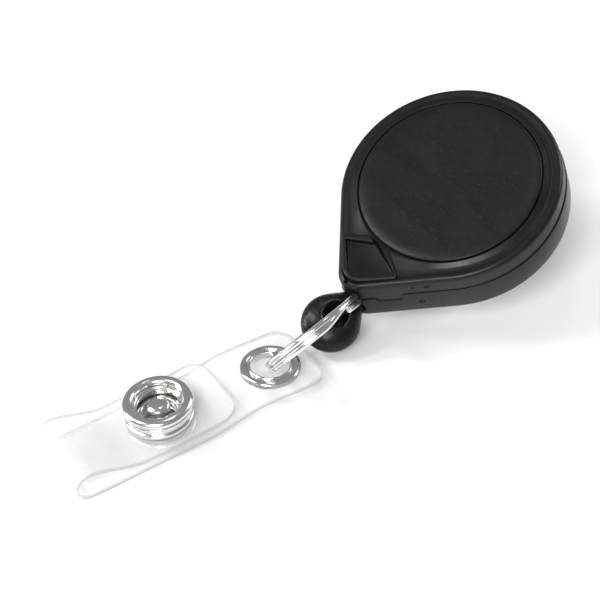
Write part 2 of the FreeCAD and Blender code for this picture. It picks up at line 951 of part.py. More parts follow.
def snap_socket():
    """Ribbed cup of the snap, above the flap."""
    low = size("flap_lift") + size("strap_thick")
    top = size("socket_top")
    rim = size("socket_radius")
    bore = size("socket_bore")
    return turned_piece("snap_socket", SNAP, [
        (bore, low),
        (rim - 0.2, low),
        (rim, low + 0.25),
        (rim, low + 0.65),
        (rim - 0.3, low + 0.85),
        (rim - 0.05, low + 1.05),
        (rim - 0.05, top),
        (3.4, top),
        (3.4, low + 0.35),
        (bore, low + 0.35),
    ])


def snap_cap():
    """Rolled top ring of the snap, open in the middle."""
    low = size("socket_top")
    top = size("snap_top")
    rim = size("snap_radius")
    hole = size("snap_open")
    return turned_piece("snap_cap", SNAP, [
        (hole - 0.6, low),
        (rim - 0.4, low),
        (rim - 0.05, low + 0.35),
        (rim, low + 0.75),
        (rim - 0.25, top - 0.25),
        (rim - 0.75, top),
        (hole + 0.3, top - 0.1),
        (hole, top - 0.6),
        (hole, low + 0.4),
        (hole - 0.6, low + 0.3),
    ])


def socket_spring():
    """Ring of spring wire in the socket that grips the stud."""
    high = num("flap_lift") + num("strap_thick") + 0.35 + num("grip_wire")
    pose = SNAP.multiply(Placement(Vector(0, 0, high), Rotation()))
    ring = new_torus("socket_spring", size("socket_bore") + 0.35, size("grip_wire"), pose)
    ring.Label = "socket_spring"
    parts.append(ring)
    return ring


# ---------------------------------------------------------------- clip

def clip_washer():
    """Spacer between the case and the clip."""
    inner = size("rivet_radius") + 0.05
    low = -(size("clip_plate") - 0.05)
    return turned_piece("clip_washer", REEL, [(inner, low), (3.6, low), (3.6, -0.1), (inner, -0.1)])


def add_ears(body, outline, outer):
    """Two upright cheeks of the clip, outer being the distance of their outer faces from the middle."""
    for place in (outer - size("clip_sheet"), -outer):
        ear = new_sketch(body, "YZ_Plane", place)
        draw_polygon(ear, outline)
        pad(body, ear, size("clip_sheet"))


def bore_ears(body, play):
    axle = new_sketch(body, "YZ_Plane")
    draw_circle(axle, -size("axle_along"), -size("axle_depth"), size("axle_radius") + play)
    pocket(body, axle, size("clip_half") * 3.0, midplane=True)


def clip_upper_jaw():
    """Plate of the clip under the case, with its nose turned down and its two cheeks."""
    body = new_body("clip_upper_jaw", CLIP)
    side = new_sketch(body, "YZ_Plane")
    top = -size("clip_plate")
    under = top - size("clip_sheet")
    tail = -size("clip_tail")
    nose = size("clip_nose")
    lip = -size("clip_lip")
    draw_polygon(side, [
        (tail, under),
        (nose - 0.6, under),
        (nose - 0.6, lip),
        (nose + 0.2, lip),
        (nose + 0.2, top - 0.4),
        (nose - 0.2, top),
        (tail, top),
    ])
    pad(body, side, size("clip_half") * 2.0, midplane=True)
    middle = -size("axle_along")
    deep = -(size("axle_depth") + 1.8)
    add_ears(body, [
        (middle - 4.5, top - 0.3),
        (middle - 2.2, deep),
        (middle + 2.2, deep),
        (middle + 4.5, top - 0.3),
    ], size("clip_half"))
    bore_ears(body, 0.0)
    hole = new_sketch(body, "XY_Plane")
    draw_circle(hole, 0.0, 0.0, size("rivet_radius") + 0.05)
    pocket(body, hole, 3.0)
    return body


def clip_lower_jaw():
    """Lower jaw: from the nose it falls away to the tail that the reel leans on."""
    body = new_body("clip_lower_jaw", CLIP)
    side = new_sketch(body, "YZ_Plane")
    tail = -size("clip_tail")
    nose = size("clip_nose") + 0.5
    low_tail = -size("jaw_tail")
    low_nose = -size("jaw_nose")
    thick = size("clip_sheet") + 0.13
    draw_polygon(side, [
        (tail, low_tail),
        (nose, low_nose),
        (nose, low_nose + thick),
        (tail, low_tail + thick),
    ])
    pad(body, side, size("clip_half") * 2.0, midplane=True)
    middle = -size("axle_along")
    high = -(size("axle_depth") - 1.7)
    add_ears(body, [
        (middle - 5.0, high - 8.85),
        (middle + 5.0, high - 2.85),
        (middle + 1.8, high),
        (middle - 1.8, high),
    ], size("jaw_half"))
    bore_ears(body, 0.05)
    return body


def axle_pose(along):
    """Frame on the clip's axle, z along it and starting the given distance from the middle."""
    return CLIP.multiply(Placement(Vector(along, -num("axle_along"), -num("axle_depth")),
                                   Rotation(Vector(0, 1, 0), 90)))


def clip_axle():
    half = num("clip_half") + 0.5
    axle = doc.addObject("Part::Cylinder", "clip_axle")
    axle.Label = "clip_axle"
    axle.setExpression("Radius", "sizes.axle_radius")
    axle.setExpression("Height", "(sizes.clip_half + 0.5) * 2")
    axle.Placement = axle_pose(-half)
    parts.append(axle)
    return axle


def clip_spring():
    """Coil round the axle, between the cheeks of the lower jaw."""
    wire = num("coil_wire")
    radius = num("coil_radius")
    length = 5.0
    helix = Part.makeHelix(wire * 2.0 + 0.065, length, radius)
    section = Part.Wire([Part.Circle(Vector(radius, 0, 0), Vector(0, 1, 0), wire).toShape()])
    coil = Part.Wire(helix.Edges).makePipeShell([section], True, True)
    return new_feature("clip_spring", coil, axle_pose(-length / 2.0))


MAKERS = [
    rear_case, front_cover, label_disc, exit_guide, spindle, clip_rivet,
    spool, spring_cover, cord_winding, power_spring,
    cord_lead, cord_end, cord_stop, split_ring,
    strap, strap_flap, grommet_eyelet, grommet_washer,
    snap_base, snap_stud, snap_eyelet, snap_socket, snap_cap, socket_spring,
    clip_washer, clip_upper_jaw, clip_lower_jaw, clip_axle, clip_spring,
]
for maker in MAKERS:
    maker()
doc.recompute()

for item in doc.Objects:
    if "Invalid" in item.State or "Error" in item.State:
        raise RuntimeError("%s failed: %s" % (item.Label, item.State))
for piece in parts:
    if piece.Shape.isNull() or not piece.Shape.isValid() or not piece.Shape.Solids:
        raise RuntimeError("%s has no valid solid" % piece.Label)

os.makedirs("parts", exist_ok=True)
whole = FreeCAD.BoundBox()
for piece in parts:
    piece.Shape.exportStep("parts/%s.step" % piece.Label)
    whole.add(piece.Shape.BoundBox)
    print("%-16s %9.2f mm3" % (piece.Label, piece.Shape.Volume), len(piece.Shape.Solids))
print("box x %.2f..%.2f  y %.2f..%.2f  z %.2f..%.2f" % (
    whole.XMin, whole.XMax, whole.YMin, whole.YMax, whole.ZMin, whole.ZMax))
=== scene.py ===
import json
import math

import bmesh
import bpy
from bpy.props import FloatProperty, FloatVectorProperty, IntProperty, PointerProperty
from bpy.types import Operator, Panel, PropertyGroup
from mathutils import Matrix, Vector

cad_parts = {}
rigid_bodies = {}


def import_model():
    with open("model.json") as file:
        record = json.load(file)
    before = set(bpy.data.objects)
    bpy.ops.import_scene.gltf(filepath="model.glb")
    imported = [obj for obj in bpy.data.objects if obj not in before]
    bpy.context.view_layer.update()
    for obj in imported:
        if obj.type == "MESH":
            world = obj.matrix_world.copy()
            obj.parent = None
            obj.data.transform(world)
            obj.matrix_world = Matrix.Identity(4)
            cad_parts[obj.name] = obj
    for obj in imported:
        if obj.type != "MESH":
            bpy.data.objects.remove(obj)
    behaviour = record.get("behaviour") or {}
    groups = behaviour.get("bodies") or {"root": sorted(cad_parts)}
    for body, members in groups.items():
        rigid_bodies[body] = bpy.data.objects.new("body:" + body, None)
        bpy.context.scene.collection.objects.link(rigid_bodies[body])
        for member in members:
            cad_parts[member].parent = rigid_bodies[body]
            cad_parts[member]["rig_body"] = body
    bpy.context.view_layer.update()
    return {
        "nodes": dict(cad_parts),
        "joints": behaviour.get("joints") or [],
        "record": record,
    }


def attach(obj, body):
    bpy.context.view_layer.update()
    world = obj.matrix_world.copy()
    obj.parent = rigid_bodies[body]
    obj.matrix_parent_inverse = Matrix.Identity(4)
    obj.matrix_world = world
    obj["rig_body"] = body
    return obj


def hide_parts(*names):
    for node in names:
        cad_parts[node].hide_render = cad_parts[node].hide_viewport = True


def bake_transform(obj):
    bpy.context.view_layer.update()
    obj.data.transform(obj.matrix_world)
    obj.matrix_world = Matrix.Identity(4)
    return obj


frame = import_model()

bl_info = {
    "name": "Badge Reel",
    "version": (1, 0, 0),
    "blender": (4, 5, 0),
    "location": "3D View > Sidebar > Badge Reel",
    "description": "Builds a retractable badge reel with its ring, snap strap and swivel clip",
    "category": "Add Mesh",
}

MM = 0.001
JOINTS = {joint["name"]: joint for joint in frame["joints"]}


# ---------------------------------------------------------------- where the groups stand

def axis_of(joint):
    return Vector(JOINTS[joint]["axis"]).normalized()


def place_of(joint):
    return Vector(JOINTS[joint]["pos_m"])


def group_frame(origin, x, y, z):
    """Matrix from a group's own millimetres to the object's metres."""
    axes = Matrix((x, y, z)).transposed().to_4x4()
    return Matrix.Translation(origin) @ axes @ Matrix.Scale(MM, 4)


def shift(x, y, z):
    return Matrix.Translation((x, y, z))


def turn(degrees, axis):
    return Matrix.Rotation(math.radians(degrees), 4, axis)


SPOOL_AXIS = axis_of("clip_spin")
BACK = -axis_of("cord_pull")
RIVET_DROP = 1.5
REEL_CENTRE = place_of("clip_spin") + SPOOL_AXIS * RIVET_DROP * MM
REEL = group_frame(REEL_CENTRE, BACK.cross(SPOOL_AXIS), BACK, SPOOL_AXIS)
CLIP_ACROSS = -axis_of("jaw_open")
CLIP = group_frame(REEL_CENTRE, CLIP_ACROSS, SPOOL_AXIS.cross(CLIP_ACROSS), SPOOL_AXIS)
AXLE = group_frame(place_of("jaw_open"), CLIP_ACROSS, SPOOL_AXIS.cross(CLIP_ACROSS), SPOOL_AXIS)
EYE_MID = 26.2
EYE_FRONT = 25.5
CORD_HEIGHT = 2.3
FITTING_ROLL = 20.0
FITTING = REEL @ shift(0, -EYE_MID, CORD_HEIGHT) @ turn(FITTING_ROLL, "Y")
MOUTH = REEL @ shift(0, 0, CORD_HEIGHT) @ turn(90.0, "X")
RING_AXIS = axis_of("ring_run")
HOLE = place_of("strap_swing")
TO_HOLE = (HOLE - place_of("ring_run")).normalized()
RING = group_frame(place_of("ring_run"), TO_HOLE, RING_AXIS.cross(TO_HOLE), RING_AXIS)
UP = Vector((0, 0, 1))
STRAP_ACROSS = axis_of("flap_open")
STRAP = group_frame(Vector((HOLE.x, HOLE.y, 0)), STRAP_ACROSS, UP.cross(STRAP_ACROSS), UP)
STRAP_HIGH = 3.25
GROMMET = STRAP @ shift(0, 0, STRAP_HIGH)
SNAP_ALONG = -17.8
SNAP_HIGH = 1.075
SNAP_SLOPE = 4.936
SNAP = STRAP @ shift(0, SNAP_ALONG, SNAP_HIGH) @ turn(SNAP_SLOPE, "X")
FOLD_CENTRE = -32.3


# ---------------------------------------------------------------- sizes and colours

class ReelSizes(PropertyGroup):
    case_radius: FloatProperty(name="Case radius", description="Radius of the round part of the case, in mm",
                               default=16.75, min=10.0, max=25.0)
    tip_round: FloatProperty(name="Tip rounding", description="Rounding of the case's tip, in mm",
                             default=3.4, min=0.8, max=6.0)
    seam: FloatProperty(name="Seam height", description="Height of the line between the two shells, in mm",
                        default=5.0, min=3.0, max=6.5)
    label_radius: FloatProperty(name="Label radius", description="Radius of the label disc, in mm",
                                default=13.6, min=8.0, max=20.0)
    turns: IntProperty(name="Round steps", description="Steps round the turned pieces",
                       default=128, min=32, max=256)
    strap_width: FloatProperty(name="Strap width", description="Width of the vinyl strap, in mm",
                               default=13.0, min=6.0, max=20.0)
    strap_thick: FloatProperty(name="Strap thickness", description="Thickness of the vinyl, in mm",
                               default=0.45, min=0.2, max=1.0)
    ring_radius: FloatProperty(name="Ring radius", description="Radius of the split ring's wire line, in mm",
                               default=7.9, min=4.0, max=15.0)


class ReelColours(PropertyGroup):
    case: FloatVectorProperty(name="Case", description="Colour of the moulded case", subtype="COLOR",
                              size=3, default=(0.0045, 0.0045, 0.005), min=0.0, max=1.0)
    label: FloatVectorProperty(name="Label", description="Colour of the label disc", subtype="COLOR",
                               size=3, default=(0.005, 0.005, 0.0055), min=0.0, max=1.0)
    vinyl: FloatVectorProperty(name="Vinyl", description="Tint of the clear strap", subtype="COLOR",
                               size=3, default=(0.88, 0.89, 0.9), min=0.0, max=1.0)
    nickel: FloatVectorProperty(name="Nickel", description="Colour of the plated fittings", subtype="COLOR",
                                size=3, default=(0.78, 0.77, 0.75), min=0.0, max=1.0)
    floor: FloatVectorProperty(name="Floor", description="Colour of the floor", subtype="COLOR",
                               size=3, default=(0.93, 0.93, 0.93), min=0.0, max=1.0)


# ---------------------------------------------------------------- shader writing

class Value:
    """A shader socket that arithmetic can be written on."""

    def __init__(self, shade, socket):
        self.shade = shade
        self.socket = socket

    def _maths(self, operation, first, second):
        return self.shade.node("ShaderNodeMath", {"operation": operation}, {0: first, 1: second})

    def __add__(self, other):
        return self._maths("ADD", self, other)

    def __radd__(self, other):
        return self._maths("ADD", other, self)

    def __sub__(self, other):
        return self._maths("SUBTRACT", self, other)

    def __mul__(self, other):
        return self._maths("MULTIPLY", self, other)


class Shade:
    """One material, written node by node."""

    def __init__(self, name, **fixed):
        self.material = bpy.data.materials.new(name)
        self.material.use_nodes = True
        self.tree = self.material.node_tree
        self.shader = self.tree.nodes["Principled BSDF"]
        for socket, number in fixed.items():
            self.shader.inputs[socket.replace("_", " ")].default_value = number

    def node(self, kind, settings=None, inputs=None, output=0):
        made = self.tree.nodes.new(kind)
        for key, setting in (settings or {}).items():
            setattr(made, key, setting)
        for key, item in (inputs or {}).items():
            if isinstance(item, Value):
                self.tree.links.new(item.socket, made.inputs[key])
            else:
                made.inputs[key].default_value = item
        return Value(self, made.outputs[output])

    def feed(self, socket, value):
        self.tree.links.new(value.socket, self.shader.inputs[socket])

    def place(self, frame_matrix=None, stretch=(1, 1, 1)):
        """Object coordinates, turned to a group's own axes and stretched."""
        spot = self.node("ShaderNodeTexCoord", output="Object")
        if frame_matrix is None:
            return self.node("ShaderNodeMapping", inputs={"Vector": spot, "Scale": stretch})
        turned = frame_matrix.to_3x3().normalized().inverted().to_euler()
        aligned = self.node("ShaderNodeMapping", inputs={"Vector": spot, "Rotation": turned})
        return self.node("ShaderNodeMapping", inputs={"Vector": aligned, "Scale": stretch})

    def noise(self, scale, detail=3.0, roughness=0.55, at=None, distortion=0.0):
        return self.node("ShaderNodeTexNoise", inputs={
            "Vector": at or self.place(), "Scale": scale, "Detail": detail,
            "Roughness": roughness, "Distortion": distortion})

    def between(self, value, low, high):
        """0 below low, 1 above high."""
        return self.node("ShaderNodeMapRange", {"clamp": True},
                         {"Value": value, "From Min": low, "From Max": high})

    def mix(self, factor, first, second):
        return self.node("ShaderNodeMix", {"data_type": "RGBA"}, {0: factor, 6: first, 7: second}, output=2)

    def bump(self, height, distance):
        self.feed("Normal", self.node("ShaderNodeBump", inputs={
            "Height": height, "Distance": distance, "Strength": 1.0}))


def rgba(colour, gain=1.0):
    return tuple(min(1.0, channel * gain) for channel in colour) + (1.0,)


def moulded_plastic(name, colour, gloss, grain):
    """Black moulded plastic: fine tool grain, faint flow marks, handling smears and a few dust specks."""
    shade = Shade(name, IOR=1.5, Specular_IOR_Level=0.28)
    flow = shade.noise(260.0, 4.0)
    smear = shade.noise(90.0, 3.0, at=shade.place(REEL, (1.0, 3.5, 1.0)), distortion=0.6)
    fine = shade.noise(grain, 2.0)
    specks = shade.between(shade.noise(5200.0, 1.0, 0.3), 0.74, 0.8)
    base = shade.mix(flow, rgba(colour, 0.8), rgba(colour, 1.3))
    shade.feed("Base Color", shade.mix(specks * 0.5, base, rgba((0.09, 0.09, 0.09))))
    shade.feed("Roughness", gloss + shade.between(smear, 0.35, 0.75) * 0.14 + flow * 0.06 + specks * 0.2)
    scratch = shade.between(shade.noise(700.0, 1.0, at=shade.place(REEL, (1.0, 26.0, 4.0))), 0.66, 0.7)
    shade.bump(fine + flow * 0.6 - scratch * 0.5, 0.000012)
    return shade.material


def plated_metal(name, colour, gloss, group=None):
    """Plated metal: soft waviness from stamping, fine polishing lines and dull spots."""
    shade = Shade(name, Metallic=1.0)
    wave = shade.noise(420.0, 2.0)
    lines = shade.noise(900.0, 2.0, at=shade.place(group, (1.0, 1.0, 14.0)))
    dull = shade.between(shade.noise(650.0, 4.0), 0.5, 0.8)
    shade.feed("Base Color", shade.mix(dull, rgba(colour), rgba(colour, 0.82)))
    shade.feed("Roughness", gloss + dull * 0.14 + lines * 0.08)
    shade.bump(wave + lines * 0.18, 0.00002)
    return shade.material


def brushed_steel(name, colour):
    """Sheet steel of the clip, with lines along its length and darker scuffs."""
    shade = Shade(name, Metallic=1.0)
    lines = shade.noise(1500.0, 3.0, at=shade.place(CLIP, (1.0, 0.06, 1.0)))
    scuff = shade.between(shade.noise(300.0, 5.0), 0.5, 0.72)
    shade.feed("Base Color", shade.mix(scuff, rgba(colour), rgba(colour, 0.7)))
    shade.feed("Roughness", 0.26 + lines * 0.2 + scuff * 0.12)
    shade.bump(lines, 0.000012)
    return shade.material


def natural_plastic(name, colour):
    """Milky acetal of the inner pieces."""
    shade = Shade(name, IOR=1.48)
    cloud = shade.noise(380.0, 4.0)
    fine = shade.noise(4000.0, 2.0)
    shade.feed("Base Color", shade.mix(cloud, rgba(colour, 0.92), rgba(colour, 1.05)))
    shade.feed("Roughness", 0.38 + cloud * 0.14)
    shade.bump(fine + cloud, 0.00001)
    return shade.material


def braided_cord(name):
    """Fine black braid: two sets of crossing yarns along the pull."""
    shade = Shade(name, Sheen_Weight=0.4)
    along = shade.place(REEL)
    yarns = []
    for sway in (1.0, -1.0):
        tilted = shade.node("ShaderNodeMapping", inputs={"Vector": along, "Rotation": (0.0, 0.0, sway * 0.9)})
        yarns.append(shade.node("ShaderNodeTexWave", {"wave_type": "BANDS", "bands_direction": "Y"},
                                {"Vector": tilted, "Scale": 750.0, "Distortion": 0.5}, output=1))
    weave = yarns[0] * yarns[1]
    fuzz = shade.noise(7000.0, 2.0)
    shade.feed("Base Color", shade.mix(weave, (0.006, 0.006, 0.006, 1), (0.03, 0.03, 0.032, 1)))
    shade.feed("Roughness", 0.62 + fuzz * 0.25)
    shade.bump(weave + fuzz * 0.3, 0.00008)
    return shade.material


def clear_vinyl(name, colour):
    """Clear strap: slightly milky, with painted shade along its cut edges (darker and more opaque there,
    standing in for the grazing reflection at the edges), soft handling haze and creases.
    """
    shade = Shade(name, IOR=1.47)
    haze = shade.noise(120.0, 4.0, at=shade.place(STRAP, (1.0, 0.35, 1.0)))
    waves = shade.noise(60.0, 2.0, at=shade.place(STRAP, (0.35, 1.0, 1.0)), distortion=1.2)
    crease = shade.between(waves, 0.6, 0.7)
    fine = shade.noise(2600.0, 2.0)
    # Painted shade: the edge mask darkens the colour and raises the opacity along the cut edges, standing in
    # for the light caught there.
    edge = shade.node("ShaderNodeAttribute", {"attribute_name": "edge"}, output="Fac")
    shade.feed("Base Color", shade.mix(edge, rgba(colour), rgba(colour, 0.5)))
    shade.feed("Alpha", 0.14 + haze * 0.15 + crease * 0.07 + edge * 0.36)
    shade.feed("Roughness", 0.1 + haze * 0.14 + crease * 0.1)
    shade.bump(haze * 2.0 + crease + fine * 0.06, 0.00006)
    return shade.material


def pale_floor(name, colour):
    shade = Shade(name)
    shade.feed("Base Color", shade.mix(shade.noise(9.0, 2.0), rgba(colour, 0.985), rgba(colour)))
    shade.feed("Roughness", 0.6 + shade.noise(40.0, 2.0) * 0.2)
    return shade.material


MATERIALS = {}


def material(kind):
    """The finish of that name, made the first time it is asked for."""
    colours = bpy.context.scene.reel_colours
    if kind not in MATERIALS:
        MATERIALS[kind] = {
            "case": lambda: moulded_plastic("moulded_case", colours.case, 0.27, 3200.0),
            "label": lambda: moulded_plastic("label_satin", colours.label, 0.3, 1900.0),
            "fitting": lambda: moulded_plastic("moulded_fitting", colours.case, 0.2, 2600.0),
            "nickel": lambda: plated_metal("bright_nickel", colours.nickel, 0.11),
            "snap_nickel": lambda: plated_metal("snap_nickel", colours.nickel, 0.14, SNAP),
            "ring_wire": lambda: plated_metal("ring_wire", colours.nickel, 0.13, RING),
            "steel": lambda: brushed_steel("clip_sheet_steel", (0.56, 0.56, 0.57)),
            "spring": lambda: plated_metal("spring_steel", (0.5, 0.51, 0.54), 0.2, AXLE),
            "brass": lambda: plated_metal("ferrule_brass", (0.72, 0.52, 0.22), 0.24, REEL),
            "natural": lambda: natural_plastic("natural_plastic", (0.66, 0.64, 0.58)),
            "cord": lambda: braided_cord("braided_cord"),
            "vinyl": lambda: clear_vinyl("clear_vinyl", colours.vinyl),
            "floor": lambda: pale_floor("pale_floor", colours.floor),
        }[kind]()
    return MATERIALS[kind]


# ---------------------------------------------------------------- modelling helpers

CAVITY_END = 18.6
SMALLEST_ROUNDING = 0.7
TAB_START = 11.5
SEAM_LOW_END = 20.5
TAB_DROP = 1.3
TIP_DROP = 0.45
POCKET_FLOOR = 7.45
POCKET_TOP = 8.45
POCKET_MID = 16.75
FRAME_FOOT = 6.9

def make_object(name, bm, place, finish, sharp=32.0):
    """Turn a bmesh drawn in a group's millimetres into an object in the shared frame."""
    bmesh.ops.transform(bm, matrix=place, verts=bm.verts[:])
    mesh = bpy.data.meshes.new(name)
    bm.to_mesh(mesh)
    bm.free()
    mesh.shade_smooth()
    mesh.set_sharp_from_angle(angle=math.radians(sharp))
    mesh.materials.append(material(finish))
    piece = bpy.data.objects.new(name, mesh)
    bpy.context.scene.collection.objects.link(piece)
    return piece


def settle(piece, sharp=32.0):
    """Apply the piece's modifiers."""
    bpy.context.view_layer.update()
    graph = bpy.context.evaluated_depsgraph_get()
    mesh = bpy.data.meshes.new_from_object(piece.evaluated_get(graph), depsgraph=graph)
    piece.modifiers.clear()
    piece.data = mesh
    mesh.shade_smooth()
    mesh.set_sharp_from_angle(angle=math.radians(sharp))


def fit_piece(piece, body, slot, *nodes):
    """Attach the piece to the body it rides on and hide the nodes it stands for. The slot argument is not
    used.
    """
    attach(piece, body)
    if nodes:
        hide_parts(*nodes)
    return piece


def outline(bm, corners, segments=4):
    """Wire outline in the x-z plane from (across, up, rounding) corners."""
    verts = [bm.verts.new((across, 0.0, up)) for across, up, _ in corners]
    bm.faces.new(verts)
    for vert, (_, _, rounding) in zip(verts, corners):
        if rounding > 0.0:
            bmesh.ops.bevel(bm, geom=[vert], offset=rounding, offset_type="OFFSET", segments=segments,
                            profile=0.5, affect="VERTICES", material=-1)
    bmesh.ops.delete(bm, geom=bm.faces[:], context="FACES_ONLY")
    on_axis = [edge for edge in bm.edges if all(abs(vert.co.x) < 1e-6 for vert in edge.verts)]
    bmesh.ops.delete(bm, geom=on_axis, context="EDGES")


def spin_round(bm, steps):
    bmesh.ops.spin(bm, geom=bm.edges[:] + bm.verts[:], cent=(0, 0, 0), axis=(0, 0, 1),
                   angle=math.tau, steps=steps, use_merge=True)
    bmesh.ops.remove_doubles(bm, verts=bm.verts[:], dist=1e-5)
    bmesh.ops.recalc_face_normals(bm, faces=bm.faces[:])


def lathe(corners, steps=None, segments=4):
    bm = bmesh.new()
    outline(bm, corners, segments)
    spin_round(bm, steps or bpy.context.scene.reel_sizes.turns)
    return bm


def carve(piece, cutters):
    """Cut the other objects out of the piece and throw them away."""
    for cutter in cutters:
        tool = piece.modifiers.new("cut", "BOOLEAN")
        tool.operation = "DIFFERENCE"
        tool.solver = "EXACT"
        tool.object = cutter
    settle(piece)
    for cutter in cutters:
        bpy.data.objects.remove(cutter)


def soften_edges(piece, width, segments, sharpest):
    """Round the piece's edges that are sharper than the given angle."""
    rounding = piece.modifiers.new("soften", "BEVEL")
    rounding.width = width * MM
    rounding.segments = segments
    rounding.limit_method = "ANGLE"
    rounding.angle_limit = math.radians(sharpest)
    settle(piece)


def dress(node, finish, soften=0.08):
    """A copy of a CAD node with its edges softened, standing for the node."""
    source = frame["nodes"][node]
    bm = bmesh.new()
    bm.from_mesh(source.data)
    bmesh.ops.remove_doubles(bm, verts=bm.verts[:], dist=2e-6)
    bmesh.ops.dissolve_limit(bm, angle_limit=math.radians(2.0), verts=bm.verts[:], edges=bm.edges[:])
    piece = make_object(node + "_body", bm, Matrix.Identity(4), finish)
    soften_edges(piece, soften, 2, 40.0)
    slots = {row["node"]: row["material_slot"] for row in frame["record"]["subparts"]}
    return fit_piece(piece, source["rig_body"], slots[node], node)


def tip_reach(angle, radius, tip_round):
    """Distance from the axis to a drop-shaped outline; the angle is measured from the tip."""
    away = min(abs(angle), math.pi / 4.0)
    straight = radius / math.cos(math.pi / 4.0 - away)
    middle = (radius - tip_round) * math.sqrt(2.0)
    across = middle * math.sin(away)
    if across < tip_round:
        rounded = middle * math.cos(away) + math.sqrt(tip_round ** 2 - across ** 2)
        corner = tip_round * math.sin(math.pi / 4.0)
        touch = math.atan2(corner, middle + corner)
        if away < touch:
            return rounded
    return straight


def pull_tip(bm, inner_start, blend_end, is_inner):
    """Draw the round shell out to its tip: full outside blend_end, none inside inner_start."""
    sizes = bpy.context.scene.reel_sizes
    for vert in bm.verts:
        radius = math.hypot(vert.co.x, vert.co.y)
        if radius < inner_start:
            continue
        angle = math.atan2(vert.co.x, -vert.co.y)
        share = min(1.0, (radius - inner_start) / (blend_end - inner_start))
        rounding = max(SMALLEST_ROUNDING, sizes.tip_round - (sizes.case_radius - radius))
        reach = radius + (tip_reach(angle, radius, rounding) - radius) * share
        if is_inner(vert.co, radius) and abs(angle) < math.pi / 3.0:
            reach = min(reach, CAVITY_END / math.cos(angle))
        vert.co.x *= reach / radius
        vert.co.y *= reach / radius


def seam_drop(angle):
    """How far the seam steps down; the angle is measured from the tip towards +x."""
    degrees = math.degrees(angle)
    if TAB_START <= degrees <= SEAM_LOW_END:
        return TAB_DROP
    if TAB_START - 1.0 <= degrees < TAB_START:
        return TAB_DROP - (TAB_START - degrees) * (TAB_DROP - TIP_DROP)
    if -SEAM_LOW_END < degrees < TAB_START - 1.0:
        return TIP_DROP
    return 0.0


def wire_tube(name, points, radius, place, finish):
    """Round wire along a smooth line through the given points."""
    data = bpy.data.curves.new(name, "CURVE")
    data.dimensions = "3D"
    data.bevel_depth = radius * MM
    data.bevel_resolution = 5
    data.resolution_u = 4
    data.use_fill_caps = True
    line = data.splines.new("NURBS")
    line.points.add(len(points) - 1)
    for spot, point in zip(line.points, points):
        spot.co = (*(place @ Vector(point)), 1.0)
    line.order_u = 3
    line.use_endpoint_u = True
    source = bpy.data.objects.new(name + "_line", data)
    bpy.context.scene.collection.objects.link(source)
    bpy.context.view_layer.update()
    graph = bpy.context.evaluated_depsgraph_get()
    mesh = bpy.data.meshes.new_from_object(source.evaluated_get(graph))
    bpy.data.objects.remove(source)
    bm = bmesh.new()
    bm.from_mesh(mesh)
    bmesh.ops.remove_doubles(bm, verts=bm.verts[:], dist=1e-7)
    bmesh.ops.recalc_face_normals(bm, faces=bm.faces[:])
    return make_object(name, bm, Matrix.Identity(4), finish, 50.0)


# ---------------------------------------------------------------- case

def rear_shell():
    sizes = bpy.context.scene.reel_sizes
    radius, seam = sizes.case_radius, sizes.seam
    bm = lathe([(0.0, 0.0, 0.0), (12.0, 0.0, 0.0), (radius - 0.05, 0.0, 0.75), (radius, seam - 0.03, 0.1),
                (radius - 1.1, seam - 0.03, 0.05), (radius - 1.1, 1.1, 0.4), (0.0, 1.1, 0.0)], 360)
    pull_tip(bm, 8.0, 13.0, lambda spot, reach: spot.z > 1.0 and reach < radius - 1.05)
    for vert in bm.verts:
        if vert.co.z > seam - 0.4:
            vert.co.z -= seam_drop(math.atan2(vert.co.x, -vert.co.y))
    piece = make_object("case_rear_shell", bm, REEL, "case")
    bore = lathe([(0.0, 17.5, 0.0), (1.7, 17.5, 0.0), (1.7, 20.0, 0.0), (2.05, 20.0, 0.0),
                  (2.05, 20.6, 0.0), (2.9, 23.5, 0.0), (0.0, 23.5, 0.0)], 64)
    carve(piece, [make_object("mouth_cutter", bore, MOUTH, "case"), dimple(8.3, 15.39, 2.75, 0.42)])
    fit_piece(piece, "case", "case_plastic", "rear_case")


def dimple(across, forward, high, radius):
    """Round cutter for one of the small gate marks on the case's wall."""
    bm = bmesh.new()
    bmesh.ops.create_icosphere(bm, subdivisions=3, radius=radius)
    return make_object("dimple_cutter", bm, REEL @ shift(across, -forward, high), "case")


def plate(name, corners, low, high):
    """Flat plate in the reel's frame, from (across, along, rounding) corners."""
    bm = bmesh.new()
    verts = [bm.verts.new((across, along, high)) for across, along, _ in corners]
    bm.faces.new(verts)
    for vert, (_, _, rounding) in zip(verts, corners):
        bmesh.ops.bevel(bm, geom=[vert], offset=rounding, offset_type="OFFSET", segments=6,
                        profile=0.5, affect="VERTICES", material=-1)
    grown = bmesh.ops.extrude_face_region(bm, geom=bm.faces[:])
    bmesh.ops.translate(bm, verts=[item for item in grown["geom"] if isinstance(item, bmesh.types.BMVert)],
                        vec=(0, 0, low - high))
    bmesh.ops.recalc_face_normals(bm, faces=bm.faces[:])
    return make_object(name, bm, REEL, "case")


def pocket_tray():
    """Raised frame round the sunken floor in the cover's tip; its inner corner meets the label's rim."""
    piece = plate("corner_pocket_frame", [(-5.95, -16.55, 0.3), (-2.75, -14.02, 0.3), (1.55, -14.12, 0.3),
                                          (5.75, -16.5, 0.35), (0.0, -22.15, 2.7)], FRAME_FOOT, POCKET_TOP)
    carve(piece, [plate("pocket_cutter", [(-5.1, -16.75, 0.3), (-0.75, -14.2, 0.3), (4.6, -16.4, 0.3),
                                          (0.15, -21.15, 2.0)], POCKET_FLOOR, POCKET_TOP + 1.0)])
    soften_edges(piece, 0.14, 3, 50.0)
    fit_piece(piece, "case", "case_plastic")


